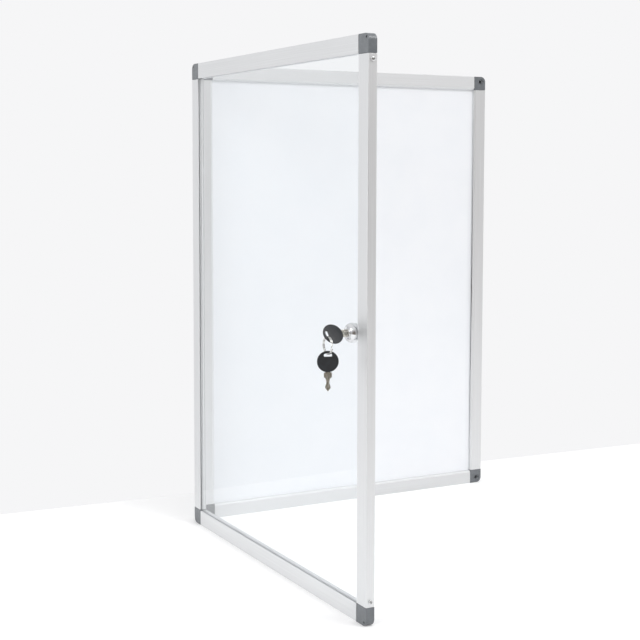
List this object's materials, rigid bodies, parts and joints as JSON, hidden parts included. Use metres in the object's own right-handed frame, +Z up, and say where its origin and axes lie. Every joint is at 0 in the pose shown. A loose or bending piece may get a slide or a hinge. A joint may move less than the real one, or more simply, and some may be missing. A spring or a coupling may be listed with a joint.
{
  "type": "lockable notice board",
  "caption": "Wall notice board with an aluminium frame, a white steel writing surface and a hinged clear door that locks with a key.",
  "frame": {"origin": "middle of the back frame's underside", "axes": "+X to the right along the board as seen from the front, +Y back towards the wall, +Z up"},
  "size_m": [0.5886, 0.546, 0.7],
  "materials": {
    "anodised_aluminium": "satin natural anodised",
    "grey_plastic": "fine grained moulded",
    "zinc_plated_steel": "bright zinc plate",
    "white_enamelled_steel": "smooth gloss white",
    "fibre_core": "pressed fibre",
    "galvanised_sheet": "galvanised",
    "clear_acrylic": "clear polished sheet",
    "chromed_zinc": "bright chrome",
    "cam_steel": "stamped and plated",
    "black_plastic": "satin moulded",
    "nickel_plated_brass": "milled and nickel plated",
    "ring_wire": "bright drawn wire"
  },
  "bodies": {
    "back_frame": {"back_stile_left": "anodised_aluminium", "back_stile_right": "anodised_aluminium", "back_rail_top": "anodised_aluminium", "back_rail_bottom": "anodised_aluminium", "back_corner_cap_top_left": "grey_plastic", "back_corner_cap_top_right": "grey_plastic", "back_corner_cap_bottom_left": "grey_plastic", "back_corner_cap_bottom_right": "grey_plastic", "back_corner_screw_top_left": "zinc_plated_steel", "back_corner_screw_top_right": "zinc_plated_steel", "back_corner_screw_bottom_left": "zinc_plated_steel", "back_corner_screw_bottom_right": "zinc_plated_steel", "writing_sheet": "white_enamelled_steel", "board_core": "fibre_core", "back_sheet": "galvanised_sheet", "hinge_top_frame_leaf": "zinc_plated_steel", "hinge_top_frame_screw_1": "zinc_plated_steel", "hinge_top_frame_screw_2": "zinc_plated_steel", "hinge_top_pin": "zinc_plated_steel", "hinge_bottom_frame_leaf": "zinc_plated_steel", "hinge_bottom_frame_screw_1": "zinc_plated_steel", "hinge_bottom_frame_screw_2": "zinc_plated_steel", "hinge_bottom_pin": "zinc_plated_steel"},
    "door": {"door_stile_left": "anodised_aluminium", "door_stile_right": "anodised_aluminium", "door_rail_top": "anodised_aluminium", "door_rail_bottom": "anodised_aluminium", "door_corner_cap_top_left": "grey_plastic", "door_corner_cap_top_right": "grey_plastic", "door_corner_cap_bottom_left": "grey_plastic", "door_corner_cap_bottom_right": "grey_plastic", "door_corner_screw_top_left": "zinc_plated_steel", "door_corner_screw_top_right": "zinc_plated_steel", "door_corner_screw_bottom_left": "zinc_plated_steel", "door_corner_screw_bottom_right": "zinc_plated_steel", "hinge_top_door_leaf": "zinc_plated_steel", "hinge_top_door_screw_1": "zinc_plated_steel", "hinge_top_door_screw_2": "zinc_plated_steel", "hinge_bottom_door_leaf": "zinc_plated_steel", "hinge_bottom_door_screw_1": "zinc_plated_steel", "hinge_bottom_door_screw_2": "zinc_plated_steel", "clear_pane": "clear_acrylic", "lock_barrel": "chromed_zinc", "lock_nut": "chromed_zinc"},
    "lock_rotor": {"lock_plug": "chromed_zinc", "lock_cam": "cam_steel", "lock_cam_screw": "zinc_plated_steel"},
    "first_key": {"key_1_bow": "black_plastic", "key_1_blade": "nickel_plated_brass"},
    "split_ring": {"key_ring": "ring_wire"},
    "second_key": {"key_2_bow": "black_plastic", "key_2_blade": "nickel_plated_brass"}
  },
  "joints": [
    {"name": "door_hinge", "type": "hinge", "parent": "back_frame", "child": "door", "pos_m": [-0.2653, -0.00825, 0.35], "axis": [0, 0, -1], "range_deg": [-90, 85]},
    {"name": "lock_turn", "type": "hinge", "parent": "door", "child": "lock_rotor", "pos_m": [-0.2761, -0.50105, 0.349], "axis": [-1, 0, 0], "range_deg": [-38, 52]},
    {"name": "key_pull", "type": "slide", "parent": "lock_rotor", "child": "first_key", "axis": [-1, 0, 0], "range_m": [0, 0.02]},
    {"name": "ring_swing", "type": "hinge", "parent": "first_key", "child": "split_ring", "pos_m": [-0.3117, -0.50284, 0.34671], "axis": [-1, 0, 0], "range_deg": [0, 55]},
    {"name": "key_2_swing", "type": "hinge", "parent": "split_ring", "child": "second_key", "pos_m": [-0.3117, -0.50284, 0.32592], "axis": [0, 1, 0], "range_deg": [-20, 35]}
  ]
}
